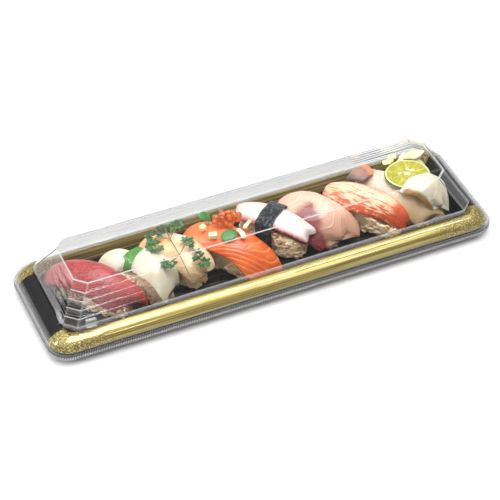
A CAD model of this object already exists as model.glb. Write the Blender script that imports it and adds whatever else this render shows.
# %% [markdown]
# # A takeaway sushi tray, built in cells
# Eight pieces of sushi lie in a long black tray with a gilt rim, under a clear stepped lid. The packed
# model gives the size and the place of each piece. Here each piece gets the surface that the eye reads:
# grains of rice, moist fish, leaves, roe, gilt film and clear sheet.

import bpy
import numpy as np
from mathutils import Matrix, Vector


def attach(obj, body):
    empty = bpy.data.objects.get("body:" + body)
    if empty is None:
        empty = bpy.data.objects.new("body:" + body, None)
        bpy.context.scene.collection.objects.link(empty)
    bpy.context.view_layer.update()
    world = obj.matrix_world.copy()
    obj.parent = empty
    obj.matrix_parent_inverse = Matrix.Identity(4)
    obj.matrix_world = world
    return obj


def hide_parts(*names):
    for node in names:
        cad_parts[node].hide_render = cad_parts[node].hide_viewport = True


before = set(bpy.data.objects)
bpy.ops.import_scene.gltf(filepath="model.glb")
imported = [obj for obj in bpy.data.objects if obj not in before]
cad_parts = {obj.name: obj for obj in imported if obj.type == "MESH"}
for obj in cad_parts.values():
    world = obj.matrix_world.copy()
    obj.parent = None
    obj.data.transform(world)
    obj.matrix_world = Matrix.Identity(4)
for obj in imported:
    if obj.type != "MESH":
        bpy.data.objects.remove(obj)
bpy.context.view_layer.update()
MM = 0.001

# %% [markdown]
# ## Camera
# The camera comes first, so that every render is framed like the photograph. It stands about 1.3 m away
# with a long lens, which keeps the tray's long sides almost parallel. Azimuth, elevation and roll were
# worked out from the corners of the lid.

# %% Camera
CAMERA_AZIMUTH = 0.3915
CAMERA_ELEVATION = 0.7273
CAMERA_ROLL = -0.0237
CAMERA_PLACE = (-0.37461, -0.90007, 0.87491)
SENSOR_WIDTH, FOCAL_SHARE = 36, 2128.79 / 500


def camera_turn(azimuth, elevation, roll):
    """Rows are the camera's right, down and forward directions: a turn about Z, then a tilt, then a roll."""
    turn = np.array([[np.cos(azimuth), -np.sin(azimuth), 0], [np.sin(azimuth), np.cos(azimuth), 0], [0, 0, 1]])
    tilt = np.array([[1, 0, 0], [0, -np.sin(elevation), -np.cos(elevation)],
                     [0, np.cos(elevation), -np.sin(elevation)]])
    spin = np.array([[np.cos(roll), -np.sin(roll), 0], [np.sin(roll), np.cos(roll), 0], [0, 0, 1]])
    return spin @ tilt @ turn


lens = bpy.data.cameras.new("camera")
lens.sensor_width = SENSOR_WIDTH
lens.lens = FOCAL_SHARE * SENSOR_WIDTH
camera = bpy.data.objects.new("camera", lens)
bpy.context.collection.objects.link(camera)
bpy.context.scene.camera = camera
rows = camera_turn(CAMERA_AZIMUTH, CAMERA_ELEVATION, CAMERA_ROLL)
facing = Matrix((rows.T @ np.diag([1.0, -1.0, -1.0])).tolist())
camera.matrix_world = Matrix.Translation(Vector(CAMERA_PLACE)) @ facing.to_4x4()
print("lens", round(lens.lens, 1), "mm")

# %% [markdown]
# ## Floor and lights
# The photograph was taken on white, so the floor is a plain pale sheet. The room is bright overhead and
# dimmer near the floor, so that gloss shows dark and light parts. A large soft lamp over the tray gives the
# soft shadow, and a smaller one from the left gives the highlights.

# %% Floor and lights


def plain_material(name, colour, roughness):
    """A Principled material of one colour, for the floor."""
    material = bpy.data.materials.new(name)
    material.use_nodes = True
    shader = material.node_tree.nodes["Principled BSDF"]
    shader.inputs["Base Color"].default_value = (*colour, 1)
    shader.inputs["Roughness"].default_value = roughness
    return material


def area_lamp(name, place, target, size, power):
    """A square soft lamp that looks at a point."""
    data = bpy.data.lights.new(name, "AREA")
    data.size = size
    data.energy = power
    lamp = bpy.data.objects.new(name, data)
    bpy.context.collection.objects.link(lamp)
    lamp.location = place
    lamp.rotation_euler = (Vector(target) - Vector(place)).to_track_quat("-Z", "Y").to_euler()
    return lamp


floor_mesh = bpy.data.meshes.new("floor")
floor_mesh.from_pydata([(-3, -3, 0), (3, -3, 0), (3, 3, 0), (-3, 3, 0)], [], [(0, 1, 2, 3)])
floor = bpy.data.objects.new("floor", floor_mesh)
floor.location.z = -0.0004
floor.data.materials.append(plain_material("floor_white", (0.93, 0.93, 0.93), 0.9))
bpy.context.collection.objects.link(floor)
lamps = [
    area_lamp("lamp_over", (0.05, -0.05, 1.3), (0, 0, 0), 1.0, 17),
    area_lamp("lamp_left", (-1.2, 0.3, 0.9), (0, 0, 0), 0.4, 5),
]
world = bpy.data.worlds.new("white_room")
bpy.context.scene.world = world
world.use_nodes = True
sky = world.node_tree
height = sky.nodes.new("ShaderNodeSeparateXYZ")
sky.links.new(sky.nodes.new("ShaderNodeTexCoord").outputs["Generated"], height.inputs[0])
fade = sky.nodes.new("ShaderNodeValToRGB")
for position, level in ((0.14, 0.85), (0.26, 0.22), (0.78, 0.3)):
    fade.color_ramp.elements.new(position).color = (level, level, level, 1)
fade.color_ramp.elements[0].color = (0.85, 0.85, 0.85, 1)
fade.color_ramp.elements[4].color = (0.95, 0.95, 0.95, 1)
sky.links.new(height.outputs["Z"], fade.inputs["Fac"])
sky.links.new(fade.outputs["Color"], sky.nodes["Background"].inputs["Color"])
bpy.context.scene.view_settings.view_transform = "Standard"
print("lamps:", [lamp.name for lamp in lamps])

# %% [markdown]
# ## Meshes from arrays
# Every piece below is a grid of points worked out at once with numpy. These helpers turn such grids into
# meshes: points in millimetres go in, and an object that rides on the tray comes out.

# %% Mesh helpers
TAU = 2 * np.pi


def circle(count):
    """Even angles round a full turn."""
    return np.linspace(0, TAU, count, endpoint=False)


def squared_off(value, power):
    """A sine or cosine raised to a power with its sign kept: a small power makes a circle squarer."""
    return np.sign(value) * np.abs(value) ** power


def unit(vectors):
    """The same directions at length 1."""
    return vectors / np.linalg.norm(vectors, axis=-1, keepdims=True)


def ring_faces(rings, around):
    """Quads between neighbouring rings of points, with the last point of each ring joined to its first."""
    r, k = np.meshgrid(np.arange(rings - 1), np.arange(around), indexing="ij")
    here, right = r * around + k, r * around + (k + 1) % around
    return np.stack([here, right, right + around, here + around], -1).reshape(-1, 4)


def face_outward(points, faces):
    """The faces, all turned round if the volume inside comes out negative: a sum of triple products."""
    volume = 0.0
    for part in faces:
        for k in range(1, part.shape[1] - 1):
            a, b, c = points[part[:, 0]], points[part[:, k]], points[part[:, k + 1]]
            volume += (a * np.cross(b, c)).sum()
    return [part[:, ::-1] for part in faces] if volume < 0 else faces


def gather(parts):
    """Several closed (points, faces) pairs as one, each with its faces turned outwards."""
    points, faces, first = [], [], 0
    for some_points, some_faces in parts:
        points.append(some_points)
        faces += [part + first for part in face_outward(some_points, some_faces)]
        first += len(some_points)
    return np.concatenate(points), faces


def make_piece(name, points, faces, material, nodes, uv=None, values=None, smooth=True):
    """An object from points in mm and faces, with its material, that stands for some nodes of the model."""
    mesh = bpy.data.meshes.new(name)
    faces = face_outward(np.asarray(points), faces)
    mesh.from_pydata((np.asarray(points) * MM).tolist(), [], [row for f in faces for row in f.tolist()])
    mesh.polygons.foreach_set("use_smooth", np.full(len(mesh.polygons), smooth))
    if uv is not None:
        corner = np.empty(len(mesh.loops), dtype=np.int32)
        mesh.loops.foreach_get("vertex_index", corner)
        mesh.uv_layers.new(name="surface").data.foreach_set("uv", np.asarray(uv, dtype=np.float32)[corner].ravel())
    for key, value in (values or {}).items():
        mesh.attributes.new(key, "FLOAT", "POINT").data.foreach_set("value", np.asarray(value, dtype=np.float32))
    mesh.update()
    piece = bpy.data.objects.new(name, mesh)
    bpy.context.collection.objects.link(piece)
    mesh.materials.append(material)
    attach(piece, "root")
    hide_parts(*nodes)
    print(f"{name}: {len(mesh.vertices)} points, {len(mesh.polygons)} faces")
    return piece


def ripple(a, b, seed, waves=6):
    """Soft unevenness between about -1 and 1: a sum of sine waves of seeded directions over two coordinates."""
    draw = np.random.default_rng(seed)
    turn, phase, rate = draw.uniform(0, TAU, waves), draw.uniform(0, TAU, waves), draw.uniform(0.7, 1.6, waves)
    total = sum(np.sin(rate[k] * (np.cos(turn[k]) * a + np.sin(turn[k]) * b) + phase[k]) for k in range(waves))
    return total / np.sqrt(waves)


# %% [markdown]
# ## Node helpers
# A material here is a small tree of nodes. `Tree` saves typing: it adds a node, sets its values, and links
# what is given as an output. `Skin` is the tree of one material. Effects that several materials share come
# next, as node groups.

# %% Node helpers


def colour(hex_code):
    """A colour as it shows on screen, such as 'c84b3a', turned to the linear values that shaders use."""
    shown = np.array([int(hex_code[k:k + 2], 16) / 255 for k in (0, 2, 4)])
    return tuple(float(v) for v in np.where(shown <= 0.04045, shown / 12.92, ((shown + 0.055) / 1.055) ** 2.4))


class Tree:
    """A thin wrapper round a node tree. Its methods add nodes and give their outputs."""

    def __init__(self, tree):
        self.tree = tree

    def plug(self, value, socket):
        """Links an output to a socket, or sets the socket's own value."""
        if isinstance(value, bpy.types.NodeSocket):
            self.tree.links.new(value, socket)
        else:
            socket.default_value = value

    def add(self, kind, inputs=None, **properties):
        """A node of a kind, with its properties set and its inputs linked or set."""
        node = self.tree.nodes.new("ShaderNode" + kind)
        for key, value in properties.items():
            setattr(node, key, value)
        for key, value in (inputs or {}).items():
            self.plug(value, node.inputs[key])
        return node

    def ramp(self, factor, stops):
        """Colours by a factor. The stops are positions and colours in one text, such as '0.3 7c080c 0.6 921414'."""
        node = self.add("ValToRGB", {"Fac": factor})
        words = stops.split()
        elements = node.color_ramp.elements
        while len(elements) < len(words) // 2:
            elements.new(0.5)
        for element, position, code in zip(elements, words[::2], words[1::2]):
            element.position = float(position)
            element.color = (*colour(code), 1)
        return node.outputs["Color"]

    def mask(self, factor, low, high):
        """0 below low, 1 above high and smooth between."""
        return self.add("MapRange", {"Value": factor, "From Min": low, "From Max": high},
                        interpolation_type="SMOOTHSTEP").outputs["Result"]

    def mix(self, factor, a, b):
        """One colour over another, where a text is a hex code."""
        a, b = ((*colour(value), 1) if isinstance(value, str) else value for value in (a, b))
        return self.add("Mix", {0: factor, 6: a, 7: b}, data_type="RGBA").outputs[2]

    def math(self, operation, a, b=0.0, clamp=False):
        """One sum on two values."""
        return self.add("Math", {0: a, 1: b}, operation=operation, use_clamp=clamp).outputs[0]

    def times(self, a, b):
        return self.math("MULTIPLY", a, b)

    def plus(self, a, b):
        return self.math("ADD", a, b)

    def minus(self, a, b):
        return self.math("SUBTRACT", a, b)

    def flip(self, a):
        """1 less a value."""
        return self.minus(1.0, a)

    def noise(self, vector, scale, detail=3.0, roughness=0.5):
        """Uneven blotches between 0 and 1."""
        values = {"Vector": vector, "Scale": scale, "Detail": detail, "Roughness": roughness}
        return self.add("TexNoise", values).outputs["Fac"]

    def cells(self, vector, scale, feature="SMOOTH_F1"):
        """Distances in a pattern of cells."""
        return self.add("TexVoronoi", {"Vector": vector, "Scale": scale}, feature=feature).outputs["Distance"]

    def stretch(self, vector, scale):
        """A vector times a scale for each axis."""
        return self.add("Mapping", {"Vector": vector, "Scale": scale}).outputs[0]

    def split(self, vector):
        """The three parts of a vector."""
        return self.add("SeparateXYZ", {"Vector": vector}).outputs


class Skin(Tree):
    """A new material's tree, with its Principled shader and the object's own coordinates."""

    def __init__(self, name, **values):
        self.material = bpy.data.materials.new(name)
        self.material.use_nodes = True
        super().__init__(self.material.node_tree)
        self.shader = self.tree.nodes["Principled BSDF"]
        self.place = self.add("TexCoord").outputs["Object"]
        self.set(**values)

    def set(self, **values):
        """Links or sets the shader's sockets. Base_Color means its Base Color."""
        for key, value in values.items():
            self.plug(value, self.shader.inputs[key.replace("_", " ")])

    def finish(self, tone, height, strength=0.5, distance=0.0004):
        """Gives the shader its colour and its relief, and returns the material."""
        bump = self.add("Bump", {"Height": height, "Strength": strength, "Distance": distance})
        self.set(Base_Color=tone, Normal=bump.outputs[0])
        return self.material


def start_group(name, inputs, outputs):
    """An empty node group. Inputs are a dictionary of start values, where None is a vector."""
    group = bpy.data.node_groups.new(name, "ShaderNodeTree")
    for label, start in inputs.items():
        kind = "NodeSocketVector" if start is None else "NodeSocketFloat"
        socket = group.interface.new_socket(label, in_out="INPUT", socket_type=kind)
        if start is not None:
            socket.default_value = start
    for label in outputs:
        group.interface.new_socket(label, in_out="OUTPUT", socket_type="NodeSocketFloat")
    return group, Tree(group), group.nodes.new("NodeGroupInput").outputs, group.nodes.new("NodeGroupOutput").inputs


# %% [markdown]
# ## Shared effects
# Raw fish shows two things close up: the wavy lines between its muscle bands, and a fine grain. Both are
# groups that read the slice's own UV map, where U runs along the slice and V across it.

# %% Muscle bands and fine grain


def make_bands_group():
    """Thin lines across a slice: saw-tooth of U times a count, bent by V and noise, kept near its start."""
    group, t, i, o = start_group("muscle_bands", {"Vector": None, "Count": 10.0, "Bend": 0.3, "Slant": 0.3,
                                                  "Width": 0.2, "Waver": 0.03}, ["Lines"])
    u, v, _ = t.split(i["Vector"])
    off_middle = t.minus(v, 0.5)
    bowed = t.times(t.times(off_middle, off_middle), i["Bend"])
    slanted = t.times(off_middle, i["Slant"])
    wavered = t.times(t.minus(t.noise(i["Vector"], 5.0), 0.5), i["Waver"])
    along = t.plus(t.plus(u, bowed), t.plus(slanted, wavered))
    saw = t.math("FRACT", t.times(along, i["Count"]))
    after = t.math("SUBTRACT", 1.0, t.math("DIVIDE", saw, i["Width"]), clamp=True)
    before = t.math("DIVIDE", t.flip(saw), t.times(i["Width"], 0.4))
    before = t.math("SUBTRACT", 1.0, before, clamp=True)
    t.plug(t.math("MAXIMUM", after, before), o["Lines"])
    return group


def make_grain_group():
    """A fine grain and broad blotches: two noises of the object's own coordinates."""
    group, t, i, o = start_group("moist_grain", {"Vector": None, "Fine": 900.0, "Broad": 90.0}, ["Fine", "Broad"])
    t.plug(t.noise(i["Vector"], i["Fine"], 4.0, 0.6), o["Fine"])
    t.plug(t.noise(i["Vector"], i["Broad"]), o["Broad"])
    return group


bands_group = make_bands_group()
grain_group = make_grain_group()
print("groups:", bands_group.name, grain_group.name)

# %% [markdown]
# ## The pack's outline
# Tray and lid are pressed from sheet, and each level of them is a rectangle with round or cut corners. One
# function gives such a level as a ring of points. A profile of levels, carried round that outline, then
# gives the whole shell, outside and inside, as one closed surface.

# %% Levels of the pack
WELL = (133.0, 33.5)
RIM_SIDE, RIM_END = 9.1, 12.0
WELL_CORNER, OUTER_CORNER = 7, 13
PACK_HEIGHT, RISER_TOP, LID_SLOPE = 40.8, 20.6, 12.15
STAIR_COUNT, STAIR_TREAD, STAIR_REACH, STAIR_END_REACH = 4, 1.9, 43.0, 27.0
LID_WALL, FIT_GAP, TRAY_WALL = 0.4, 0.35, 0.6
SIDE_SHARES = np.concatenate([[0.0], np.linspace(0.004, 0.35, 40), [0.5], np.linspace(0.65, 0.996, 40)])


def pack_level(out, z, corner, cut=0.0, steps=12, stair_out=None):
    """A ring round the pack: quarter circles (or straight cuts) at the corners, joined by straight sides.
    Where stair_out is given, the front left and back right corners stand there instead, fading along
    the sides that meet at them."""
    stretch = RIM_END / RIM_SIDE if out > 0 else 1.0
    share = np.linspace(0, 1, steps + 1)
    ring, place = [], []
    for quarter, (sx, sy) in enumerate([(1, 1), (-1, 1), (-1, -1), (1, -1)]):
        start = quarter * TAU / 4
        angle = start + share * TAU / 4
        round_x, round_y = np.cos(angle), np.sin(angle)
        line_x = np.cos(start) * (1 - share) - np.sin(start) * share
        line_y = np.sin(start) * (1 - share) + np.cos(start) * share
        here = out if stair_out is None or sx != sy else stair_out
        half = (WELL[0] + here * stretch - corner, WELL[1] + here - corner)
        ring.append(np.stack([sx * half[0] + corner * (round_x * (1 - cut) + line_x * cut),
                              sy * half[1] + corner * (round_y * (1 - cut) + line_y * cut)], -1))
        place.append(here)
    points = []
    for quarter in range(4):
        mine, following = ring[quarter], ring[(quarter + 1) % 4]
        points.append(mine)
        a, b = mine[-1], following[0]
        side = a + (b - a) * SIDE_SHARES[1:, None]
        if stair_out is not None and quarter in (0, 2):
            flat = (WELL[1] + out) * (1 if quarter == 0 else -1)
            fade = np.clip(np.abs(side[:, 0] - a[0]) / STAIR_REACH, 0, 1)
            side[:, 1] = a[1] + (flat - a[1]) * fade
        if stair_out is not None and quarter in (1, 3):
            flat = (WELL[0] + out * stretch) * (1 if quarter == 3 else -1)
            fade = np.clip(np.abs(side[:, 1] - b[1]) / STAIR_END_REACH, 0, 1)
            side[:, 0] = b[0] + (flat - b[0]) * (3 * fade**2 - 2 * fade**3)
        points.append(side)
    flat_ring = np.concatenate(points)
    return np.concatenate([flat_ring, np.full((len(flat_ring), 1), z)], 1)


def smooth_profile(profile, steps):
    """More points on a profile: a Catmull-Rom curve through its points."""
    p = np.asarray(profile, dtype=float)
    p = np.concatenate([[2 * p[0] - p[1]], p, [2 * p[-1] - p[-2]]])
    s = np.linspace(0, 1, steps, endpoint=False)[:, None]
    parts = [0.5 * (2 * b + (c - a) * s + (2 * a - 5 * b + 4 * c - d) * s**2 + (3 * b - a - 3 * c + d) * s**3)
             for a, b, c, d in zip(p[:-3], p[1:-2], p[2:-1], p[3:])]
    return np.concatenate(parts + [p[-2:-1]])


def offset_profile(profile, distance):
    """A profile moved sideways, to its left as it runs, by the normal of its smoothed direction."""
    p = np.asarray(profile, dtype=float)
    along = unit(np.gradient(p, axis=0))
    return p + distance * np.stack([-along[:, 1], along[:, 0]], -1)


def rim_corner(out):
    """Corner radius, growing from the well to the skirt."""
    return WELL_CORNER + (OUTER_CORNER - WELL_CORNER) * max(0.0, out) / RIM_SIDE


RIM_TOP = [(-6, 0.8), (-5, 1.6), (-0.5, 15.3), (0.4, 15.7), (3.0, 15.0), (5.7, 12.9), (7.5, 9.8), (7.8, 7.6)]
rim_curve = np.concatenate([RIM_TOP[:1], smooth_profile(RIM_TOP[1:], 6)])
print("rim profile has", len(rim_curve), "points, a level has", len(pack_level(0, 0, 7)))

# %% [markdown]
# ## Tray
# The tray is thin black sheet, so its profile runs along the under side and back over the top. The film of
# gilt lies on the rim's long sides and corners. It is metal, streaked lengthwise along the sides and
# crackled at the corners, while the plastic beside it is glossy black.

# %% Gilt and black plastic


def make_tray_material():
    """Black plastic, and over it gilt where the rim is high and not in the middle of a short side."""
    t = Skin("black_and_gilt")
    x, y, z = t.split(t.place)
    off_x, off_y = t.math("ABSOLUTE", x), t.math("ABSOLUTE", y)
    on_end = t.times(t.mask(off_x, 0.1262, 0.127), t.flip(t.mask(off_y, 0.0262, 0.0272)))
    film = t.times(t.mask(z, 0.0088, 0.0092), t.flip(on_end))
    streaks = t.noise(t.stretch(t.place, (0.006, 1.0, 1.0)), 1100.0)
    relief = t.add("Mix", {0: t.mask(off_x, 0.095, 0.125), 2: streaks, 3: t.cells(t.place, 1500.0)}).outputs[0]
    gilt = t.ramp(relief, "0.32 6e5c22 0.5 b19c50 0.66 dccd94")
    t.set(Metallic=t.times(film, 0.72), Roughness=t.plus(0.08, t.times(film, 0.24)))
    return t.finish(t.mix(film, "08080a", gilt), t.times(relief, film), 0.8, 0.0006)


tray_material = make_tray_material()

# %% Tray shell and ribs
FLOOR_TOP, RIB_TOP, RIB_COUNT, RIB_PITCH = 0.8, 2.0, 9, 5.8
RIB_HALF_LENGTH, RIB_HALF_WIDTH, RIB_TAPER = 116, 1.25, 4


def loft_closed(rings):
    """Points and faces of rings joined one to the next, with a fan over the first and over the last."""
    rings = np.asarray(rings)
    count, around = rings.shape[:2]
    centres = rings[[0, -1]].mean(1)
    k = np.arange(around)
    low = np.stack([np.full(around, count * around), (k + 1) % around, k], -1)
    top = (count - 1) * around
    high = np.stack([np.full(around, count * around + 1), top + k, top + (k + 1) % around], -1)
    return np.concatenate([rings.reshape(-1, 3), centres]), [ring_faces(count, around), low, high]


under = offset_profile(rim_curve, -TRAY_WALL)
under[0], under[1] = (-6, 0.0), (-4.7, 0.0)
tray_profile = np.concatenate([under, rim_curve[::-1]])
tray_rings = [pack_level(out, z, rim_corner(out)) for out, z in tray_profile]
make_piece("tray_shell", *loft_closed(tray_rings), tray_material, ["tray"])


def rounded_bar(y, rows=40, sides=14):
    """A long low bar: a half ellipse across, carried along X, sinking to nothing over the taper at its ends."""
    x = RIB_HALF_LENGTH * np.sin(np.linspace(-TAU / 4, TAU / 4, rows))
    angle = circle(sides)
    fall = np.sqrt(np.clip((RIB_HALF_LENGTH - np.abs(x)) / RIB_TAPER, 0, 1)) * 0.98 + 0.02
    across = y + RIB_HALF_WIDTH * np.cos(angle)[None, :] * np.ones_like(x)[:, None]
    up = FLOOR_TOP + (RIB_TOP - FLOOR_TOP) * np.clip(np.sin(angle), -0.3, 1)[None, :] * fall[:, None]
    return np.stack([np.repeat(x[:, None], sides, 1), across, up], -1)


bars = [loft_closed(rounded_bar((k - (RIB_COUNT - 1) / 2) * RIB_PITCH)) for k in range(RIB_COUNT)]
make_piece("tray_ribs", *gather(bars), tray_material, ["tray"])

# %% [markdown]
# ## Lid
# The lid is clear sheet, so light has to pass twice through it and still show its creases. The shell is
# glass for the eye, and for lamps it is a see-through shader, so that it casts hardly any shade. A pressed
# crease scatters light, so a mask that is 1 on each crease adds a little white there.

# %% Clear sheet


def make_lid_material():
    """Clear sheet: glass, see-through for shadow rays, white where the crease value is high."""
    t = Skin("clear_sheet", Roughness=0.02, IOR=1.5, Transmission_Weight=1.0)
    crease, ribs = (t.add("Attribute", attribute_name=name).outputs["Fac"] for name in ("crease", "skirt"))
    along, up = t.split(t.add("UVMap").outputs[0])[0], t.split(t.place)[2]
    wave = t.math("SINE", t.times(along, TAU))
    ridge = t.times(t.times(ribs, t.flip(t.mask(up, 0.0062, 0.0074))), t.mask(wave, -0.5, 0.5))
    tint = t.mix(ribs, (0.96, 0.97, 0.975, 1), (0.09, 0.08, 0.08, 1))
    t.finish(t.mix(ridge, tint, (0.8, 0.8, 0.81, 1)), t.times(wave, ribs), 0.9, 0.0003)
    frost, paint = (t.add(kind, {"Color": (0.95, 0.96, 0.97, 1)}).outputs[0]
                    for kind in ("BsdfTranslucent", "BsdfDiffuse"))
    white = t.add("MixShader", {0: 0.5, 1: frost, 2: paint}).outputs[0]
    haze = t.math("MAXIMUM", t.times(crease, 0.75), t.times(ridge, 0.5))
    lined = t.add("MixShader", {0: haze, 1: t.shader.outputs[0], 2: white}).outputs[0]
    clear = t.add("BsdfTransparent", {"Color": (0.97, 0.975, 0.98, 1)}).outputs[0]
    shadow = t.add("LightPath").outputs["Is Shadow Ray"]
    both = t.add("MixShader", {0: shadow, 1: lined, 2: clear}).outputs[0]
    t.plug(both, t.tree.nodes["Material Output"].inputs["Surface"])
    return t.material


lid_material = make_lid_material()

# %% Lid shell
LID_CORNER, RIB_STEP, RISER_HAZE, CREASE_WIDTH = 6.5, 1.5, 0.3, 0.4
RISER_FOOT, SKIRT_OUTSIDE, SKIRT_INSIDE = (16.4, 16.1), (5.0, 6.4, 7.8), (7.4, 6.2, 5.0)
SIDE_STAIR, CORNER_STAIR, CORNER_EDGE = 0.7, 0.9, 0.22  # how white their creases are
STAIR_START = 126  # how far along the tray the stairs' own corner ends


def slope_levels(inset, drop):
    """Levels from the riser's top to the flat top, with the stairs' edges at two corners, and a crease
    value for each level."""
    rise = PACK_HEIGHT - RISER_TOP
    levels = []

    def add(lean, stair_lean, z, crease):
        levels.append((pack_level(-lean - inset, z - drop, LID_CORNER, 1, stair_out=-stair_lean - inset), crease))

    add(0, 0, RISER_TOP, RISER_HAZE)
    add(0.6 * CREASE_WIDTH, 0.6 * CREASE_WIDTH, RISER_TOP + CREASE_WIDTH, 0)
    for k in range(STAIR_COUNT, 0, -1):
        z = RISER_TOP + rise * (STAIR_COUNT + 1 - k) / (STAIR_COUNT + 1)
        lean = LID_SLOPE * (z - RISER_TOP) / rise
        foot = lean - STAIR_TREAD / 2
        add(lean - 0.15, foot, z - 0.25, 0)
        add(lean - 0.072, foot + 0.12, z - 0.12, -1)
        add(lean, foot + 0.4, z, 0)
        add(lean + 0.09, foot + STAIR_TREAD - 0.15, z + 0.15, 0)
        add(lean + 0.15, foot + STAIR_TREAD, z + 0.25, 0)
    add(LID_SLOPE - 0.3, LID_SLOPE - 0.3, PACK_HEIGHT - 0.45, 0)
    add(LID_SLOPE, LID_SLOPE, PACK_HEIGHT, 1)
    add(LID_SLOPE + 0.5, LID_SLOPE + 0.5, PACK_HEIGHT, 0)
    return levels


crest = smooth_profile(RIM_TOP[3:], 4)
outer_rim = offset_profile(crest, FIT_GAP + LID_WALL)[2:][::-1]
inner_rim = offset_profile(crest, FIT_GAP)[2:]
outer = [*((RIM_SIDE, z) for z in SKIRT_OUTSIDE), *outer_rim[3:], (0.0, RISER_FOOT[0])]
inner = [(-LID_WALL, RISER_FOOT[1]), *inner_rim[:-3], *((RIM_SIDE - LID_WALL, z) for z in SKIRT_INSIDE)]
lid_levels = slope_levels(LID_WALL, LID_WALL)[::-1]
lid_levels += [(pack_level(out, z, rim_corner(out), 0 if out > 0 else 1), 0) for out, z in inner + outer]
lid_levels += slope_levels(0, 0)
rings = np.array([ring for ring, _ in lid_levels])
marks = np.array([mark for _, mark in lid_levels], dtype=float)
count, around = rings.shape[:2]
per_corner, per_side = 13, len(SIDE_SHARES) - 1
column = np.arange(around) % (per_corner + per_side)
quarter = np.arange(around) // (per_corner + per_side)
edge_column = np.isin(column, [0, per_corner - 1])
on_stairs = np.isin(quarter, [0, 2]) & (column < per_corner)
along_side = np.abs(rings[..., 0] - np.where(quarter == 2, -1, 1) * STAIR_START)
near_stairs = np.isin(quarter, [0, 2]) * np.clip((STAIR_REACH - along_side) / STAIR_REACH, 0, 1) * SIDE_STAIR
crease = np.where(marks[:, None] < 0, np.maximum(near_stairs, on_stairs * CORNER_STAIR), marks[:, None])
slope_ring = rings[:, 0, 2] > RISER_TOP - 1
crease = np.maximum(crease, (edge_column[None, :] & slope_ring[:, None]) * CORNER_EDGE)
crease = np.concatenate([crease.ravel(), [0, 0]])
step = np.linalg.norm(np.diff(rings[count // 2], axis=0, append=rings[count // 2][:1]), axis=1)
ribs_along = np.concatenate([[0], np.cumsum(step)[:-1]]) / RIB_STEP
uv = np.stack([np.tile(ribs_along, count), np.repeat(np.linspace(0, 1, count), around)], -1)
uv = np.concatenate([uv, [[0, 0], [0, 1]]])
on_skirt = (rings[:, 0, 2] < SKIRT_OUTSIDE[-1] + 0.1) & (rings[:, 0, 0] > WELL[0] + RIM_END - 2)
skirt = np.concatenate([np.repeat(on_skirt, around), [0, 0]])
make_piece("lid_shell", *loft_closed(rings), lid_material, ["lid"], uv=uv,
           values={"crease": crease, "skirt": skirt.astype(float)}, smooth=False)

# %% Lugs on the lid


def soft_box(size, power):
    """Rings of a box with soft edges: a ball whose sines and cosines are raised to a small power."""
    tilt = np.linspace(0, TAU / 2, 18)[1:-1, None]
    spin = circle(28)[None]
    x = np.sin(tilt) ** power * squared_off(np.cos(spin), power)
    y = np.sin(tilt) ** power * squared_off(np.sin(spin), power)
    z = -squared_off(np.cos(tilt), power) * np.ones_like(spin)
    return np.stack([x * size[0] / 2, y * size[1] / 2, z * size[2] / 2], -1)


LUGS = [((-117.8, -32.9, 20.6), (6.6, 2.4, 5.6)), ((-132.8, -20.5, 20.2), (2.4, 6.6, 5.6))]
lugs = gather([loft_closed(soft_box(size, 0.2) + np.array(middle)) for middle, size in LUGS])
make_piece("lid_lugs", *lugs, lid_material, ["lid"], values={"crease": np.full(len(lugs[0]), 0.12)})

# %% [markdown]
# ## Slices of topping
# Every slice is draped over its rice in the same way: it has four corners in plan, a crown, and ends and
# sides that hang down. A rounded slab is carried from its back end to its front, and a little unevenness
# keeps it from looking machined. What differs is the numbers, the edge and the colour.

# %% Slice shape
END_ROUND, HANG_POWER = 0.18, 2.4  # how much narrower the very ends are, and how late they hang down
# Each slice has the corners of its plan (back left, back right, front left, front right), its swell, its
# thickness, its crown, and how far its back end, front end, left side and right side hang down.
SLICE_ROWS = {
    "tuna": ([(-131, 21), (-113, 28), (-100, -18), (-76, -21)], 4, 6, 29.5, (10, 12, 7, 6)),
    "squid_back": ([(-97, 18), (-81, 24), (-86, 4), (-68, 9)], 1, 4, 24.8, (5, 0, 5, 5)),
    "squid_front": ([(-81, 1), (-63, 9), (-69, -24), (-53, -13)], 2, 2.8, 29.4, (0, 13.6, 6, 6)),
    "pale_fish": ([(-72, 20), (-49, 27), (-48, -18), (-27, -9)], 1.5, 5, 27.5, (6, 9, 5, 5)),
    "salmon": ([(-44, 19), (-21, 25), (-12, -26), (11, -21)], 1.5, 4.5, 27, (5, 17.4, 4.4, 4.4)),
    "octopus": ([(-7, 20), (9, 26), (24.5, -18.5), (37, -9)], 2.0, 5.5, 27.5, (1.5, 6, 2, 2)),
    "sea_bream": ([(21, 19), (43, 27), (32, -17), (67, -15)], 3, 5, 28.5, (6, 13, 6, 6)),
    "crab_leg": ([(52, 20), (65, 23), (90, -22), (97, -20)], 6.5, 7, 29, (6, 10, 7, 7)),
    "flatfish": ([(75, 19), (94, 25), (100, -22), (121, -19)], 2.5, 4, 26, (1, 12, 6, 5)),
    "flatfish_flap": ([(93, -7), (121, 1), (110, -20), (124, -20)], 3, 2.0, 33, (1.0, 13, 3.5, 8)),
    "skin_flap": ([(70, 19), (85, 27), (78, 8), (87, 14)], 1, 2.5, 30, (3.2, 1, 1, 1)),
    "shiso_leaf": ([(-85.5, 8.5), (-69, 13.5), (-81.5, -1.5), (-66, 4.5)], 0, 0.6, 26.6, (0, 0.3, 6.5, 1.5)),
}
SLICES = {name: dict(zip(("plan", "swell", "thick", "crown", "drops"), row)) for name, row in SLICE_ROWS.items()}


def slice_frame(spec):
    """The middles of a slice's back and front ends, and the directions along it and across it."""
    back_left, back_right, front_left, front_right = (np.array(p, dtype=float) for p in spec["plan"])
    back, front = (back_left + back_right) / 2, (front_left + front_right) / 2
    along = unit(front - back)
    return back, front, along, np.array([-along[1], along[0]])


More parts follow.
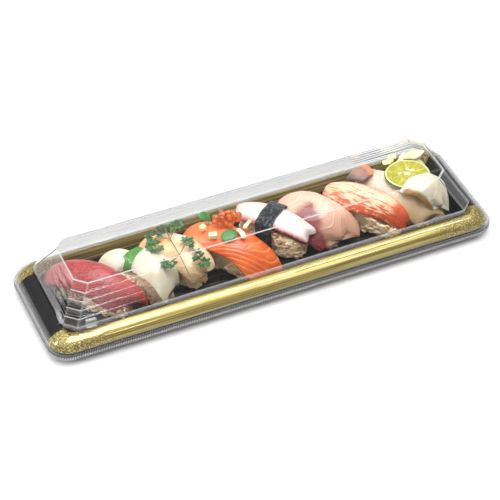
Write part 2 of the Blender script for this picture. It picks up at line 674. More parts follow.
def slice_plan(spec, u, v):
    """The point in plan at u from back (-1) to front (1) and v from left (-1) to right (1): a blend of the
    four corners, pushed out sideways by the swell at mid length and rounded in at the very ends."""
    back_left, back_right, front_left, front_right = (np.array(p, dtype=float) for p in spec["plan"])
    side = slice_frame(spec)[3]
    share = (u[..., None] + 1) / 2
    left, right = back_left + (front_left - back_left) * share, back_right + (front_right - back_right) * share
    swell = spec["swell"] * np.maximum(0, 1 - u**2)
    round_in = 1 - END_ROUND * np.clip((np.abs(u) - 0.75) / 0.25, 0, 1.4) ** 2
    half = (right - left) / 2 * round_in[..., None]
    return (left + right) / 2 + half * v[..., None] + side * (v * swell)[..., None]


def slice_top(spec, u, v):
    """Height of the upper side: the crown, less each end's and each side's drop times its distance to a power."""
    back, front, left, right = spec["drops"]
    return (spec["crown"] - np.where(u < 0, back, front) * np.abs(u) ** HANG_POWER
            - np.where(v < 0, left, right) * np.abs(v) ** HANG_POWER)


def make_slice(name, material, rows=110, around=96, uneven=0.35, edge=None, relief=None, seed=1):
    """A rounded slab carried along a slice. edge(u, v) moves its points along the slice, in mm, and
    relief(u, v) raises or lowers its upper side."""
    spec = SLICES[name]
    u = np.sin(np.linspace(-TAU / 4, TAU / 4, rows))
    angle = circle(around)
    uu, vv = np.meshgrid(u, squared_off(np.cos(angle), 0.6), indexing="ij")
    hh = np.repeat(squared_off(np.sin(angle), 0.8)[None, :], rows, 0)
    plan = slice_plan(spec, uu, vv)
    wave = ripple(plan[..., 0] / 5, plan[..., 1] / 5, seed)
    fine = ripple(plan[..., 0] / 1.6, plan[..., 1] / 1.6, seed + 50)
    along, side = slice_frame(spec)[2:]
    plan = plan + side * (vv * np.abs(vv) ** 3 * wave * uneven * 1.5)[..., None]
    plan = plan + along * (np.abs(uu) ** 6 * wave * uneven * 2.2)[..., None]
    if edge is not None:
        plan = plan + along * edge(uu, vv)[..., None]
    end = np.clip((1 - np.abs(uu)) / 0.1, 0, 1)
    thick = spec["thick"] * (0.25 + 0.75 * np.sqrt(1 - (1 - end) ** 2))
    z = slice_top(spec, uu, vv) - spec["thick"] / 2 + hh * thick / 2
    z = z + (wave * 0.6 + fine * 0.25) * uneven
    if relief is not None:
        z = z + relief(uu, vv) * np.clip(hh, 0, 1)
    points, faces = loft_closed(np.concatenate([plan, z[..., None]], -1))
    uv = np.stack([(uu + 1) / 2, (vv + 1) / 2], -1).reshape(-1, 2)
    uv = np.concatenate([uv, [[0, 0.5], [1, 0.5]]])
    upper = np.concatenate([hh.ravel(), [0, 0]])
    return make_piece(name + "_slice", points, faces, material, [name], uv=uv, values={"upper": upper})


# %% [markdown]
# ## Fish materials
# Raw fish lets light in a little way, so its shader has some subsurface scattering, with a thin wet coat.
# Each fish starts from the same tree and then paints its own marks over it.

# %% Start of each fish


class Moist(Skin):
    """A moist Principled shader with its UV, its own coordinates, fine grain and broad blotches."""

    def __init__(self, name, coat=0.35, scatter=0.25):
        super().__init__(name, Roughness=0.38, Coat_Weight=coat, Coat_Roughness=0.12, Subsurface_Weight=scatter,
                         Subsurface_Radius=(1.0, 0.45, 0.3), Subsurface_Scale=0.0012)
        self.uv = self.add("UVMap").outputs[0]
        self.u, self.v, _ = self.split(self.uv)
        self.fine, self.broad = self.add("Group", {"Vector": self.place}, node_tree=grain_group).outputs

    def bands(self, *values):
        """Lines between muscle bands, by their count, bend, slant, width and waver."""
        inputs = dict(zip(("Vector", "Count", "Bend", "Slant", "Width", "Waver"), (self.uv, *values)))
        return self.add("Group", inputs, node_tree=bands_group).outputs["Lines"]


# %% Tuna
t = Moist("tuna_flesh")
lines = t.bands(26.0, 1.2, -0.5, 0.35, 0.06)
red = t.ramp(t.broad, "0.3 7c080c 0.55 921414 0.75 a82422")
red = t.mix(t.times(lines, 0.2), red, "d9706c")
speckle = t.noise(t.place, 1000.0)
red = t.mix(t.times(t.mask(speckle, 0.5, 0.62), 0.45), red, "d06c68")
make_slice("tuna", t.finish(red, t.plus(t.times(lines, 0.4), speckle), 0.8), seed=3)

# %% Squid
t = Moist("squid_flesh", coat=0.5, scatter=0.4)
squid_material = t.finish(t.ramp(t.broad, "0.35 c6bca2 0.6 d4ccb8 0.8 e4dfd0"), t.broad, 0.2)
make_slice("squid_back", squid_material, uneven=0.2, seed=5)
make_slice("squid_front", squid_material, uneven=0.25, seed=6,
           edge=lambda u, v: -2.0 * (np.clip(u, 0, 1) ** 6) * (v > 0) * v)

# %% Pale fish
t = Moist("pale_fish_flesh", scatter=0.35)
lines = t.bands(9.0, 1.5, 0.4, 0.25, 0.12)
peach = t.ramp(t.broad, "0.35 e6aa70 0.6 efc08c 0.8 f3d2ae")
pink = t.ramp(t.broad, "0.4 eeb9a8 0.7 f5d9cc")
beige = t.ramp(t.broad, "0.35 cfa878 0.7 e6cfa8")
tone = t.mix(t.mask(t.v, 0.55, 0.68), peach, pink)
tone = t.mix(t.mask(t.u, 0.38, 0.55), tone, beige)
tone = t.mix(t.times(lines, 0.18), tone, "f6e6d0")
make_slice("pale_fish", t.finish(tone, t.plus(lines, t.fine)), uneven=0.6, seed=8,
           edge=lambda u, v: 1.2 * np.sin(9 * v + 1) * np.clip(u, 0, 1) ** 5,
           relief=lambda u, v: -1.6 * np.exp(-((v - 0.28) / 0.09) ** 2) * np.clip(0.3 - u, 0, 1))

# %% [markdown]
# Salmon shows the boldest marks of all: soft grooves between broad muscle bands, each with a pale line of
# fat. The grooves are real relief here, so that the lamp catches them, and the material paints the fat.

# %% Salmon
BAND_COUNT, BAND_BEND, BAND_SLANT = 10.0, 0.9, -0.42
t = Moist("salmon_flesh", coat=0.5, scatter=0.3)
lines = t.bands(BAND_COUNT, BAND_BEND, BAND_SLANT, 0.24, 0.04)
orange = t.ramp(t.broad, "0.3 c04605 0.55 d25a12 0.8 e07632")
orange = t.mix(t.flip(t.mask(t.u, 0.3, 0.6)), orange, "e4743c")
orange = t.mix(t.times(lines, 0.33), orange, "f6b078")
salmon_material = t.finish(orange, t.plus(t.times(lines, -0.6), t.times(t.fine, 0.5)))


def salmon_grooves(u, v):
    """Grooves on the same lines as the material's bands: deepest where the saw starts anew."""
    along = (u + 1) / 2 + BAND_BEND * (v / 2) ** 2 + BAND_SLANT * v / 2
    phase = (along * BAND_COUNT) % 1.0
    return -0.4 * np.exp(-(np.minimum(phase, 1 - phase) / 0.12) ** 2)


make_slice("salmon", salmon_material, rows=200, seed=9, relief=salmon_grooves)

# %% Octopus
t = Moist("octopus_flesh", coat=0.5, scatter=0.35)
upper = t.add("Attribute", attribute_name="upper").outputs["Fac"]
white = t.ramp(t.broad, "0.35 d2bfba 0.6 ddd0cb 0.8 e9e0dc")
skin = t.flip(t.mask(t.plus(upper, t.times(t.minus(t.fine, 0.5), 0.8)), 0.35, 0.7))
skin = t.times(skin, t.flip(t.mask(t.v, 0.75, 0.95)))
skin = t.times(skin, t.mask(t.u, 0.5, 0.6))
rim = t.math("MAXIMUM", t.times(t.math("ABSOLUTE", t.minus(t.v, 0.5)), 2.0), t.flip(t.times(t.u, 5.0)))
rim = t.mask(t.plus(rim, t.times(t.minus(t.broad, 0.5), 0.8)), 0.72, 1.0)
tone = t.mix(t.times(rim, 0.7), white, "cf8480")
tone = t.mix(t.mask(upper, 0.35, 0.9), "cc8480", tone)
tone = t.mix(skin, tone, t.ramp(t.fine, "0.35 4a1420 0.65 7a2c3a"))


def zigzag(u, v):
    """Blunt corners along the front and the back end: a triangle wave across the slice."""
    saw = np.abs(((v * 0.55 + 0.5) % 1.0) - 0.5) * 2
    return (saw - 0.5) * 3.4 * np.abs(u) ** 5


make_slice("octopus", t.finish(tone, t.plus(t.fine, t.broad), 0.3), uneven=0.45, seed=12, edge=zigzag)

# %% Sea bream
t = Moist("sea_bream_flesh", scatter=0.35)
lines = t.bands(8.0, 1.8, 0.5, 0.22, 0.08)
pale = t.ramp(t.broad, "0.35 d6a890 0.6 e0bba4 0.8 e8d0c0")
pale = t.mix(t.times(lines, 0.3), pale, "fdf1ea")
pale = t.mix(t.times(t.mask(t.u, 0.62, 0.95), 0.85), pale, "b88a70")
from_left = t.plus(t.v, t.times(t.minus(t.broad, 0.5), 0.22))
past = t.minus(from_left, t.plus(0.76, t.times(t.u, -0.6)))
blood = t.flip(t.mask(past, -0.02, 0.13))
blood = t.times(blood, t.mask(t.plus(t.u, t.times(t.fine, 0.3)), 0.5, 0.72))
tone = t.mix(t.times(blood, 0.92), pale, t.ramp(t.fine, "0.35 5a1420 0.6 8a3038 0.75 b05a58"))
make_slice("sea_bream", t.finish(tone, t.plus(lines, t.fine)), uneven=0.5, seed=14,
           edge=lambda u, v: 1.5 * np.sin(7 * v + 2) * np.clip(u, 0, 1) ** 6)

# %% Crab leg
t = Moist("crab_flesh", coat=0.4, scatter=0.35)
blotch = t.noise(t.stretch(t.uv, (2.6, 8.0, 1.0)), 2.4, 6.0, 0.7)
side_red = t.mask(t.math("ABSOLUTE", t.minus(t.v, 0.42)), 0.1, 0.5)
red_mask = t.mask(t.plus(blotch, t.times(side_red, 0.12)), 0.5, 0.6)
tip = t.mask(t.plus(t.u, t.times(blotch, 0.1)), 0.86, 0.96)
cream, red = t.ramp(t.broad, "0.35 e9bd92 0.7 f2d8ba"), t.ramp(t.fine, "0.3 c23a16 0.7 df6a3c")
tone = t.mix(t.math("MAXIMUM", red_mask, tip), cream, red)
fibres = t.noise(t.stretch(t.uv, (3.0, 60.0, 1.0)), 1.5, 2.0)
make_slice("crab_leg", t.finish(tone, t.plus(fibres, t.times(t.fine, 0.4))), seed=16,
           relief=lambda u, v: 0.5 * np.cos(5 * v) * (1 - u**2))

# %% Flatfish, its flap and its skin side
t = Moist("flatfish_flesh", scatter=0.4)
grey, beige = t.ramp(t.broad, "0.35 cdb7a2 0.7 ded2c0"), t.ramp(t.broad, "0.35 c2a172 0.7 dac4a0")
tone = t.mix(t.mask(t.u, 0.5, 0.72), grey, beige)
specks = t.times(t.mask(t.fine, 0.56, 0.68), t.flip(t.mask(t.u, 0.4, 0.55)))
tone = t.mix(t.times(specks, 0.7), tone, "a8736a")
make_slice("flatfish", t.finish(tone, t.plus(t.fine, t.broad)), uneven=0.6, seed=18)

t = Moist("flap_flesh", coat=0.5, scatter=0.45)
lines = t.bands(5.0, 1.5, 0.8, 0.2, 0.12)
grey = t.ramp(t.broad, "0.35 c8baa0 0.6 d9cfbb 0.8 e8e2d4")
fold = t.flip(t.mask(t.plus(t.v, t.times(t.broad, 0.1)), 0.1, 0.2))
tone = t.mix(t.times(fold, t.mask(t.u, 0.12, 0.3)), t.mix(t.times(lines, 0.3), grey, "fbfaf4"), "8a6424")
make_slice("flatfish_flap", t.finish(tone, t.plus(lines, t.fine)), uneven=0.6, seed=20,
           edge=lambda u, v: (1.4 * np.sin(5 * v + 2) * np.clip(u, 0, 1) ** 6
                              + 1.0 * np.sin(4 * v) * np.clip(-u, 0, 1) ** 4))

t = Moist("skin_side", coat=0.4, scatter=0.1)
across = t.plus(t.v, t.times(t.fine, 0.2))
tone = t.mix(t.mask(across, 0.68, 0.85), t.ramp(t.broad, "0.35 7a584c 0.6 99705e 0.8 b08670"), "d88a5c")
tone = t.mix(t.times(t.flip(t.mask(across, 0.15, 0.4)), 0.8), tone, "4c3838")
make_slice("skin_flap", t.finish(tone, t.fine, 0.8), uneven=0.4, seed=21)

# %% [markdown]
# ## Rice
# Rice is what makes sushi look real, and it can't be faked with bumps at this distance. Each block is a
# plain core, and hundreds of grains lie on its sides at their true size, about 5.6 by 2.3 mm. A grain that
# would reach into a slice of topping is left out. All grains of a block are one mesh.

# %% Rice material
t = Moist("cooked_rice", coat=0.04, scatter=0.3)
t.set(Subsurface_Scale=0.0004, Roughness=0.55)
rice_material = t.finish(t.ramp(t.broad, "0.3 e8c39a 0.55 f2d4b0 0.8 f9e8d2"), t.fine, distance=0.0001)

# %% Rice blocks
GRAIN = (5.6, 2.3, 2.0)
RICE_WIDTH, RICE_SHORTER, FOOD_BASE = 18.0, 5.0, 2.3
BLOCK_ROWS = [(0, 0.88), (0.12, 0.97), (0.5, 1.0), (0.8, 0.94), (1.0, 0.7)]
GRAINS_TRIED = 680
CORE_INSET, GRAIN_INSET = 1.3, 0.9
OPEN_HEIGHT, COVER_REACH = 1000.0, 1.0
# Each block has its slices, its shift along X, and the slices that its grains keep clear of.
PIECES = [
    ("tuna", 0, "tuna squid_back"),
    ("squid_back squid_front", 0, "tuna squid_back squid_front shiso_leaf pale_fish"),
    ("pale_fish", 0, "squid_front pale_fish salmon shiso_leaf"),
    ("salmon", 0, "pale_fish salmon octopus"),
    ("octopus", -1, "salmon octopus sea_bream"),
    ("sea_bream", 1, "octopus sea_bream crab_leg"),
    ("crab_leg", -1.5, "sea_bream crab_leg flatfish"),
    ("flatfish", 3, "crab_leg flatfish flatfish_flap skin_flap"),
]


def block_width(share):
    """How wide the block is at a share of its height."""
    return np.interp(share, *zip(*BLOCK_ROWS))


def slab_samples(name):
    """Points in plan on a slice, with the height of its under side there."""
    spec = SLICES[name]
    u, v = np.meshgrid(np.linspace(-1.08, 1.08, 60), np.linspace(-1.1, 1.1, 40), indexing="ij")
    plan = slice_plan(spec, u, v).reshape(-1, 2)
    top = slice_top(spec, u, v).ravel()
    edge = np.maximum(np.abs(u), np.abs(v)).ravel()
    thick = spec["thick"] * np.where(edge > 0.95, 0.65, 1.0)
    return plan, top - thick


def underside(points, neighbours, gap):
    """The lowest under side of the slices over each point in plan, less a gap, or a great height in the open."""
    limit = np.full(len(points), OPEN_HEIGHT)
    for name in neighbours:
        plan, low = slab_samples(name)
        apart = np.linalg.norm(points[:, None, :2] - plan[None], axis=2)
        nearest = apart.argmin(1)
        covered = apart[np.arange(len(points)), nearest] < COVER_REACH
        limit = np.where(covered, np.minimum(limit, low[nearest] - gap), limit)
    return limit


def grain_shape(sides=8, rings=7):
    """One grain: an ellipsoid that is fuller at one end, as rings of points round its long axis."""
    along = np.cos(np.linspace(0, TAU / 2, rings))
    radius = np.sqrt(np.maximum(0, 1 - along**2)) * (1 + 0.12 * along)
    angle = np.arange(sides) / sides * TAU
    inner = slice(1, rings - 1)
    y = radius[inner, None] * np.cos(angle) * GRAIN[1] / 2
    z = radius[inner, None] * np.sin(angle) * GRAIN[2] / 2
    x = np.repeat(along[inner, None] * GRAIN[0] / 2, sides, 1)
    points, faces = loft_closed(np.stack([x, y, z], -1))
    points[-2:] = [[GRAIN[0] / 2, 0, 0], [-GRAIN[0] / 2, 0, 0]]
    return points, face_outward(points, faces)


def turned(points, forward, roll):
    """Copies of points, one for each forward direction: X goes forward, and Y and Z are rolled about it."""
    forward = unit(forward)
    side = np.cross(np.array([0.0, 0.0, 1.0]), forward)
    side /= np.linalg.norm(side, axis=1, keepdims=True) + 1e-9
    up = np.cross(forward, side)
    c, s = np.cos(roll)[:, None], np.sin(roll)[:, None]
    across, raised = side * c + up * s, up * c - side * s
    return (points[None, :, 0:1] * forward[:, None] + points[None, :, 1:2] * across[:, None]
            + points[None, :, 2:3] * raised[:, None])


def make_rice(number, slices, shift, neighbours, count=GRAINS_TRIED):
    """A core and its grains: angles and heights are drawn on the block's side, and grains under or in a
    slice are dropped."""
    draw = np.random.default_rng(100 + number)
    first, last = SLICES[slices[0]], SLICES[slices[-1]]
    back, front = slice_frame(first)[0], slice_frame(last)[1]
    heading = unit(front - back)
    across = np.array([-heading[1], heading[0]])
    middle = (back + front) / 2 + np.array([shift, 0.0])
    half_length, half_width = (np.linalg.norm(front - back) - RICE_SHORTER) / 2, RICE_WIDTH / 2
    top = first["crown"] - first["thick"]

    def block(angle, share, grow):
        a, b = squared_off(np.cos(angle), 0.6), squared_off(np.sin(angle), 0.6)
        w = block_width(share)
        plan = (middle + heading * (a * (half_length + grow) * (0.4 + 0.6 * w))[..., None]
                + across * (b * (half_width + grow) * w)[..., None])
        return np.concatenate([plan, (FOOD_BASE + share * (top - FOOD_BASE))[..., None]], -1)

    share, angle = np.meshgrid(np.linspace(0, 1, 12), circle(48), indexing="ij")
    core = block(angle, share, -CORE_INSET)
    ceiling = np.minimum(underside(core.reshape(-1, 3), neighbours, 0.9).reshape(share.shape).min(0), top - 1.0)
    core[..., 2] = FOOD_BASE + share * (np.maximum(ceiling, FOOD_BASE + 1.5) - FOOD_BASE)
    core_points, core_faces = loft_closed(core)
    core_faces = face_outward(core_points, core_faces)
    shape, shape_faces = grain_shape()
    angle, share = draw.uniform(0, TAU, count), draw.uniform(0.03, 1.0, count)
    centre = block(angle, share, -GRAIN_INSET)
    tangent = block(angle + 0.05, share, -GRAIN_INSET) - centre
    tangent[:, 2] += draw.normal(0, 1.0, count) * np.linalg.norm(tangent, axis=1)
    outward = unit(np.concatenate([centre[:, :2] - middle, np.zeros((count, 1))], 1))
    tangent = unit(tangent) + outward * draw.normal(0, 0.35, (count, 1))
    centre = centre + outward * draw.uniform(-0.5, 0.8, (count, 1))
    grains = turned(shape, tangent, draw.uniform(0, TAU, count))
    grains = grains * draw.uniform(0.86, 1.04, (count, 1, 1)) + centre[:, None]
    tips = grains[:, ::5].reshape(-1, 3)
    grains = grains[(grains[..., 2].min(1) > FOOD_BASE - 0.6)
                    & ~(tips[:, 2] > underside(tips, neighbours, -0.4)).reshape(count, -1).any(1)]
    offsets = len(core_points) + np.arange(len(grains))[:, None, None] * len(shape)
    faces = core_faces + [(f[None] + offsets).reshape(-1, f.shape[1]) for f in shape_faces]
    return make_piece(f"rice_block_{number}", np.concatenate([core_points, grains.reshape(-1, 3)]), faces,
                      rice_material, [f"rice_{number}"])


for number, (slices, shift, neighbours) in enumerate(PIECES, 1):
    make_rice(number, slices.split(), shift, neighbours.split())

# %% [markdown]
# ## Seaweed band
# The hoop of seaweed goes over the octopus and down both sides of its rice. Its section is a strip that
# follows the slice's upper side, and it is carried along the slice for a quarter of its length.

# %% Seaweed band
t = Moist("seaweed", coat=0.3, scatter=0.0)
weave = t.cells(t.place, 700.0, "DISTANCE_TO_EDGE")
flecks = t.mask(t.noise(t.place, 520.0, 4.0), 0.53, 0.6)
tone = t.mix(t.times(flecks, 0.75), t.ramp(t.broad, "0.3 030405 0.6 07090b 0.8 11161a"), "5c6a72")
seaweed_material = t.finish(tone, t.plus(t.times(weave, 3.0), t.fine), 1.0, 0.0006)


def make_seaweed(start, end, thick, gap):
    """A strip over a slice: heights above its upper side, then down both sides to near the floor."""
    spec = SLICES["octopus"]
    back, front, along, side = slice_frame(spec)
    u = np.linspace(start, end, 24)
    middle = back + (front - back) * ((u + 1) / 2)[:, None]
    half = np.linalg.norm(slice_plan(spec, u, np.ones_like(u)) - slice_plan(spec, u, -np.ones_like(u)), axis=1) / 2
    mean_half = half.mean() + gap
    v = np.linspace(-1, 1, 25)
    top = slice_top(spec, np.full_like(v, (start + end) / 2), v) + gap
    rice_half = RICE_WIDTH / 2
    side_v = np.array([mean_half + 0.5, mean_half + 0.6, rice_half + 1.6, rice_half + 1.2, rice_half + 1.0])
    side_z = np.array([top[-1] - 1.6, top[-1] - 3.5, 14.0, 8.0, FOOD_BASE + 0.3])
    path = np.concatenate([np.stack([-side_v[::-1], side_z[::-1]], -1), np.stack([v * mean_half, top], -1),
                           np.stack([side_v, side_z], -1)])
    path = smooth_profile(path, 2)
    outer, inner = offset_profile(path, thick), path
    section = np.concatenate([outer, inner[::-1]])
    rows, around = len(u), len(section)
    across = np.repeat(section[None, :, 0], rows, 0)
    z = np.repeat(section[None, :, 1], rows, 0)
    wave = ripple(across / 3, np.repeat(u[:, None] * 6, around, 1), 31)
    plan = middle[:, None] + side * across[..., None]
    plan = plan + along * (0.25 * ripple(across / 2, z / 2, 33))[..., None]
    points = np.concatenate([plan, (z + 0.12 * wave)[..., None]], -1)
    strip = len(path)
    k = np.arange(strip - 1)
    caps = [np.stack([k + 1, k, around - 1 - k, around - 2 - k], -1)]
    last = (rows - 1) * around
    caps.append(np.stack([last + k, last + k + 1, last + around - 2 - k, last + around - 1 - k], -1))
    faces = [ring_faces(rows, around), *caps]
    return make_piece("seaweed_band", points.reshape(-1, 3), faces, seaweed_material, ["nori_band"])


make_seaweed(-0.33, 0.13, 0.5, 0.45)

# %% [markdown]
# ## Leaves and stems
# A leaf is a sheet of rings about its middle. Its rim is a function of the angle, so lobes and teeth are
# sums of cosines, and its height waves a little. The under side is the same sheet a fraction lower, and
# the two are joined at the rim. A stem is a small circle carried along a curve.

# %% Leaf and stem shapes


def leaf_sheet(middle, rim, lift, thick=0.35, rings=9, around=120, normal=(0, 0, 1), heading=0.0):
    """Points and faces of a leaf. rim(angle) is its reach in mm, and lift(share, angle) its height."""
    share, angle = np.meshgrid(np.linspace(0, 1, rings)[1:], circle(around), indexing="ij")
    x, y = (rim(angle) * share * wave(angle + heading) for wave in (np.cos, np.sin))
    z = lift(share, angle)
    up = unit(np.array(normal, dtype=float))
    first = unit(np.cross([0.0, 1.0, 0.0], up))
    flat = np.asarray(middle) + first * x[..., None] + np.cross(up, first) * y[..., None]
    thin = thick / 2 * (1 - 0.6 * share)
    rings_all = np.concatenate([flat + up * (z + thin)[..., None], (flat + up * (z - thin)[..., None])[::-1]])
    low = lift(np.array(0.0), np.array(0.0))
    points, faces = loft_closed(rings_all)
    points[-2:] = np.asarray(middle) + up * np.array([[low + thick / 2], [low - thick / 2]])
    return points, faces


def stem_tube(path, radius, steps=10, sides=8):
    """A round stem along a smooth curve through points, a little thinner at its far end."""
    line = smooth_profile(path, steps)
    forward = unit(np.gradient(line, axis=0))
    side = unit(np.cross(forward, [0.31, 0.17, 0.93]))
    up = np.cross(forward, side)
    angle = circle(sides)[None, :, None]
    size = radius * np.linspace(1, 0.7, len(line))[:, None, None]
    return loft_closed(line[:, None] + size * (side[:, None] * np.cos(angle) + up[:, None] * np.sin(angle)))


# %% Leaf materials


def leaf_material(name, stops):
    """A satin leaf: greens by broad noise and fine grain, and light through its thin blade."""
    t = Moist(name, coat=0.2, scatter=0.15)
    return t.finish(t.ramp(t.plus(t.times(t.broad, 0.6), t.times(t.fine, 0.4)), stops), t.fine, 0.4)


herb_green = leaf_material("herb_green", "0.35 103f1a 0.5 1d5828 0.7 3f7d3c")
herb_stem = leaf_material("herb_stem", "0.35 4c5420 0.5 6c7230 0.7 8a9044")
sprout_green = leaf_material("sprout_green", "0.35 195620 0.5 2c6e2c 0.7 539044")
leaf_green = leaf_material("leaf_green", "0.35 26661c 0.5 387c24 0.7 5a9838")
make_slice("shiso_leaf", leaf_green, rows=60, around=64, uneven=0.25, seed=22)

# %% Chervil sprig
# Each tip has its place, the way its leaf points, and the leaf's reach.
SPRIG_TIPS = {"a": ((-60, 11, 29.5), 2.6, 5.6), "b": ((-51, 17, 29), 1.6, 4.8), "c": ((-43, 18, 28.5), 0.6, 4.2),
              "d": ((-63, 3, 30.4), 3.1, 5.6), "e": ((-60, -12, 28.5), 3.9, 4.8), "f": ((-44, -1, 29.5), 0.5, 4.6),
              "g": ((-42, -11, 27.5), -0.4, 4.4), "h": ((-40, -16, 24.5), -1.0, 4.4)}
SPRIG_FORK, SPRIG_BEND, SPRIG_FOOT = (-52, 7, 29.5), (-52, -8, 28.8), (-50.5, -21, 21.5)


def leaflet_rim(size):
    """Reach of a cut leaflet: five lobes, longest ahead, each with small teeth."""
    return lambda angle: size * (0.27 + 0.24 * np.cos(angle) + 0.34 * np.abs(np.cos(2.5 * angle)) ** 1.3
                                 + 0.08 * np.abs(np.cos(7.5 * angle)))


def chervil_leaf(tip, turn, reach, seed):
    """Seven cut leaflets that fan out from one point."""
    draw = np.random.default_rng(seed)
    parts = []
    for spread in (-2.1, -1.4, -0.7, 0.0, 0.7, 1.4, 2.1):
        heading = turn + spread + draw.normal(0, 0.12)
        size = reach * 0.8 * (1 - 0.08 * abs(spread)) * draw.uniform(0.85, 1.1)
        middle = np.array(tip) + np.array([np.cos(heading), np.sin(heading), 0]) * reach * 0.55
        middle[2] += draw.uniform(-0.3, 1.0)
        lean = (draw.normal(0, 0.3), draw.normal(0, 0.3), 1)
        parts.append(leaf_sheet(middle, leaflet_rim(size), lambda s, a: 0.3 * s * np.cos(3 * a), thick=0.25,
                                rings=5, around=90, normal=lean, heading=heading))
    return parts


parts = [part for k, row in enumerate(SPRIG_TIPS.values()) for part in chervil_leaf(*row, 60 + k)]
make_piece("chervil_leaves", *gather(parts), herb_green, ["chervil_sprig"])
tips = {key: row[0] for key, row in SPRIG_TIPS.items()}
stems = [[tips["b"], SPRIG_FORK, SPRIG_BEND, SPRIG_FOOT], [tips["d"], tips["a"], SPRIG_FORK], [tips["c"], SPRIG_FORK],
         [tips["e"], SPRIG_BEND], [tips["h"], tips["g"], tips["f"], SPRIG_BEND]]
make_piece("chervil_stems", *gather([stem_tube(path, 0.42) for path in stems]), herb_stem, ["chervil_sprig"])

# %% Sprouts
SPROUTS = [((-25.5, 15, 31.5), (-25, 10.5, 28.4), 4.4, (0.45, -0.45, 0.75)),
           ((-18.5, -4.5, 29.8), (-11, -3, 28.6), 5.0, (-0.15, -0.25, 1))]
for k, (leaf, foot, reach, normal) in enumerate(SPROUTS, 1):
    blade = leaf_sheet(leaf, lambda a, r=reach: r * (0.86 + 0.14 * np.cos(2 * a)),
                       lambda s, a: -0.9 * s**2 * np.cos(a) ** 2, thick=0.4, normal=normal)
    make_piece(f"sprout_leaf_{k}", *gather([blade, stem_tube([leaf, foot], 0.45)]), sprout_green, [f"sprout_{k}"])

# %% [markdown]
# ## Roe, radish, lime and ginger
# The roe are balls of tinted glass with something solid inside, so that each shows a bright spot and a
# deep rim by itself.

# %% Roe
ROE_RADIUS, ROE_PITCH, ROE_MIDDLE = 2.2, 3.9, (-14.0, 9.5)
t = Moist("roe_orange", coat=1.0, scatter=0.5)
t.set(Base_Color=t.ramp(t.broad, "0.35 f06c04 0.55 fb900c 0.8 ffbe44"), Roughness=0.08, Coat_Roughness=0.03,
      Transmission_Weight=0.7, Subsurface_Radius=(1.0, 0.7, 0.2), IOR=1.38)
roe_material = t.material


def ball(centre, radius, sides=20, rings=12):
    """A round body as rings of points about its upright axis."""
    tilt = np.linspace(0, TAU / 2, rings)[1:-1, None]
    turn = circle(sides)[None]
    rings_all = [np.sin(tilt) * np.cos(turn), np.sin(tilt) * np.sin(turn), -np.cos(tilt) * np.ones_like(turn)]
    points, faces = loft_closed(np.asarray(centre) + radius * np.stack(rings_all, -1))
    points[-2:] = np.asarray(centre) + np.array([[0, 0, -radius], [0, 0, radius]])
    return points, faces


roe_parts = []
draw = np.random.default_rng(7)
for layer, (shift_x, shift_y, size, reach) in enumerate([(0, 0, 3, 10.2), (1.95, 1.1, 2, 6.6)]):
    for i in range(-size, size + 1):
        for j in range(-size, size + 1):
            x, y = (i + j / 2) * ROE_PITCH + shift_x, j * ROE_PITCH * 0.87 + shift_y
            if np.hypot(x * 0.8, y * 1.1) <= reach - ROE_RADIUS:
                jitter = draw.normal(0, 0.25, 3)
                centre = (ROE_MIDDLE[0] + x + jitter[0], ROE_MIDDLE[1] + y + jitter[1],
                          SLICES["salmon"]["crown"] + 0.6 + ROE_RADIUS + layer * 3.1 + 0.4 * jitter[2])
                roe_parts.append(ball(centre, ROE_RADIUS * draw.uniform(0.82, 0.96)))
make_piece("roe_heap", *gather(roe_parts), roe_material, ["roe"])
print("balls of roe:", len(roe_parts))

# %% Radish bits
BITS = [("radish_dice_1", (4, 3.6, 3.2), (-30, 9, 28.7), 20), ("radish_dice_2", (5, 3.8, 3.4), (-27, 0, 28.6), -12),
        ("radish_strip_1", (9, 2.6, 2), (-10.5, -5, 28.4), -82), ("radish_strip_2", (8, 2.4, 2), (-4, 1, 28.4), 40)]
t = Moist("radish", coat=0.4, scatter=0.4)
radish_material = t.finish(t.ramp(t.broad, "0.35 f0dc9c 0.7 faf0c8"), t.fine, 0.3)


def turned_flat(points, angle):
    """Points turned about the upright axis."""
    c, s = np.cos(angle), np.sin(angle)
    x, y, z = np.moveaxis(points, -1, 0)
    return np.stack([x * c - y * s, x * s + y * c, z], -1)


for k, (name, size, middle, turn) in enumerate(BITS):
    local = soft_box(size, 0.35)
    local += 0.12 * ripple(local[..., :1] * 1.2, local[..., 1:2] * 1.2, 80 + k)
    spun = turned_flat(local, np.radians(turn))
    make_piece(name.replace("_", "_bit_", 1), *loft_closed(spun + np.array(middle)), radish_material, [name])

# %% Lime
LIME_RADIUS, LIME_THICK, LIME_MIDDLE, LIME_LEAN = 14.4, 2.0, (104.8, 2.2, 29.0), np.radians(-2)


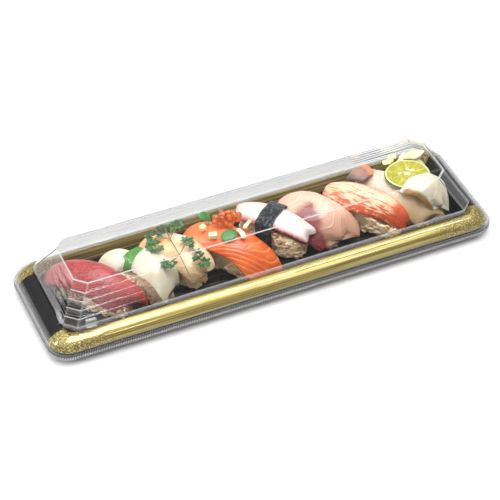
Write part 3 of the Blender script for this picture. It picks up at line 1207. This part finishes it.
def make_lime_material():
    """Rings by the distance from the middle: rind, pith and flesh, which membranes part like spokes."""
    t = Skin("lime", Roughness=0.22, Coat_Weight=0.4, Subsurface_Weight=0.3, Subsurface_Radius=(1.0, 0.9, 0.4),
             Subsurface_Scale=0.002)
    centred = t.add("Mapping", {"Vector": t.place, "Location": tuple(-c * MM for c in LIME_MIDDLE)}).outputs[0]
    x, y, _ = t.split(centred)
    reach = t.math("SQRT", t.plus(t.times(x, x), t.times(y, y)))
    spokes = t.math("ABSOLUTE", t.math("SINE", t.times(t.math("ARCTAN2", y, x), 5.0)))
    membrane = t.flip(t.mask(t.times(spokes, reach), 0.0004, 0.0014))
    pale = t.math("MAXIMUM", t.times(membrane, 0.5), t.flip(t.mask(reach, 0.001, 0.0022)))
    sacs = t.cells(t.stretch(centred, (1.0, 1.0, 0.2)), 600.0)
    tone = t.mix(pale, t.ramp(sacs, "0.1 8f8c1e 0.5 a8a030 0.9 c0b85a"), "dde0a4")
    tone = t.mix(t.mask(reach, 0.0128, 0.0132), tone, "d6dc9c")
    rind = t.ramp(t.noise(t.place, 500.0), "0.35 234c1c 0.7 4c7c2a")
    tone = t.mix(t.mask(reach, 0.0137, 0.0139), tone, rind)
    return t.finish(tone, t.plus(sacs, t.times(pale, 0.6)), 0.4)


def round_slab(radius, thick, round_edge, sides=160):
    """A disc with a rounded edge: its profile is carried round the upright axis."""
    bend = np.linspace(-TAU / 4, TAU / 4, 9)
    reach = np.concatenate([np.linspace(0.5, radius - round_edge, 14), radius - round_edge + round_edge * np.cos(bend),
                            np.linspace(radius - round_edge, 0.5, 14)])
    z = np.concatenate([np.full(14, -thick / 2), np.sin(bend) * thick / 2, np.full(14, thick / 2)])
    turn = circle(sides)
    return np.stack([reach[:, None] * np.cos(turn), reach[:, None] * np.sin(turn), np.repeat(z[:, None], sides, 1)], -1)


disc = round_slab(LIME_RADIUS, LIME_THICK, 1.0)
disc[..., 2] += 0.12 * ripple(disc[..., 0] / 2, disc[..., 1] / 2, 91) * (np.abs(disc[..., 2]) > 0.8)
leaned = np.stack([disc[..., 0], disc[..., 1] * np.cos(LIME_LEAN) - disc[..., 2] * np.sin(LIME_LEAN),
                   disc[..., 1] * np.sin(LIME_LEAN) + disc[..., 2] * np.cos(LIME_LEAN)], -1)
lime_material = make_lime_material()
make_piece("lime_disc", *loft_closed(leaned + np.array(LIME_MIDDLE)), lime_material, ["lime_slice"])
t = Moist("lime_seed", coat=0.5, scatter=0.2)
seed_material = t.finish(t.ramp(t.fine, "0.35 c8bf96 0.65 e6e0c4"), t.fine, 0.3)
seeds = []
for x, y, turn in [(-4.4, 2.0, 0.5), (-1.0, 0.6, 1.1), (1.8, 4.0, 2.0), (4.2, 1.8, 2.6)]:
    points, faces = ball((0, 0, 0), 1.0, 16, 10)
    points = turned_flat(points * np.array([1.7, 1.05, 0.7]), turn)
    lift = LIME_THICK / 2 + y * np.sin(LIME_LEAN) + 0.05
    seeds.append((points + np.array(LIME_MIDDLE) + np.array([x, y, lift]), faces))
make_piece("lime_seeds", *gather(seeds), seed_material, ["lime_slice"])

# %% Ginger
t = Moist("pickled_ginger", coat=0.5, scatter=0.5)
ginger_material = t.finish(t.ramp(t.broad, "0.35 e6d590 0.6 f0e4b0 0.8 f7f0cf"), t.fine, 0.3)
draw = np.random.default_rng(15)
folds = []
for k in range(12):
    middle = (116.5 + draw.uniform(-6, 6), 20.5 + draw.uniform(-1.5, 1.5), 6.0 + k * 1.95)
    tilt = (draw.normal(0, 0.3), draw.normal(-0.1, 0.25), 1)
    size = 7.5 if k < 9 else 6.8
    folds.append(leaf_sheet(
        middle, lambda a, s=size, p=k: s * (0.92 + 0.08 * np.cos(3 * a + p)) * (1 + 0.45 * np.cos(2 * a)) / 1.25,
        lambda s, a, p=k: 1.1 * s**2 * np.sin(3 * a + 2 * p), thick=0.9, rings=14, around=90, normal=tilt))
for k, (x, y) in enumerate([(101.5, 21.5), (104.5, 23.5), (99, 19.5)]):
    folds.append(leaf_sheet((x, y, 27.0 + 0.5 * k), lambda a: 2.4 * (1 + 0.3 * np.cos(2 * a)),
                            lambda s, a: 0.5 * s**2 * np.sin(3 * a),
                            thick=0.6, rings=6, around=40, normal=(0.2 * k - 0.2, -0.2, 1)))
make_piece("ginger_folds", *gather(folds), ginger_material, ["ginger"])
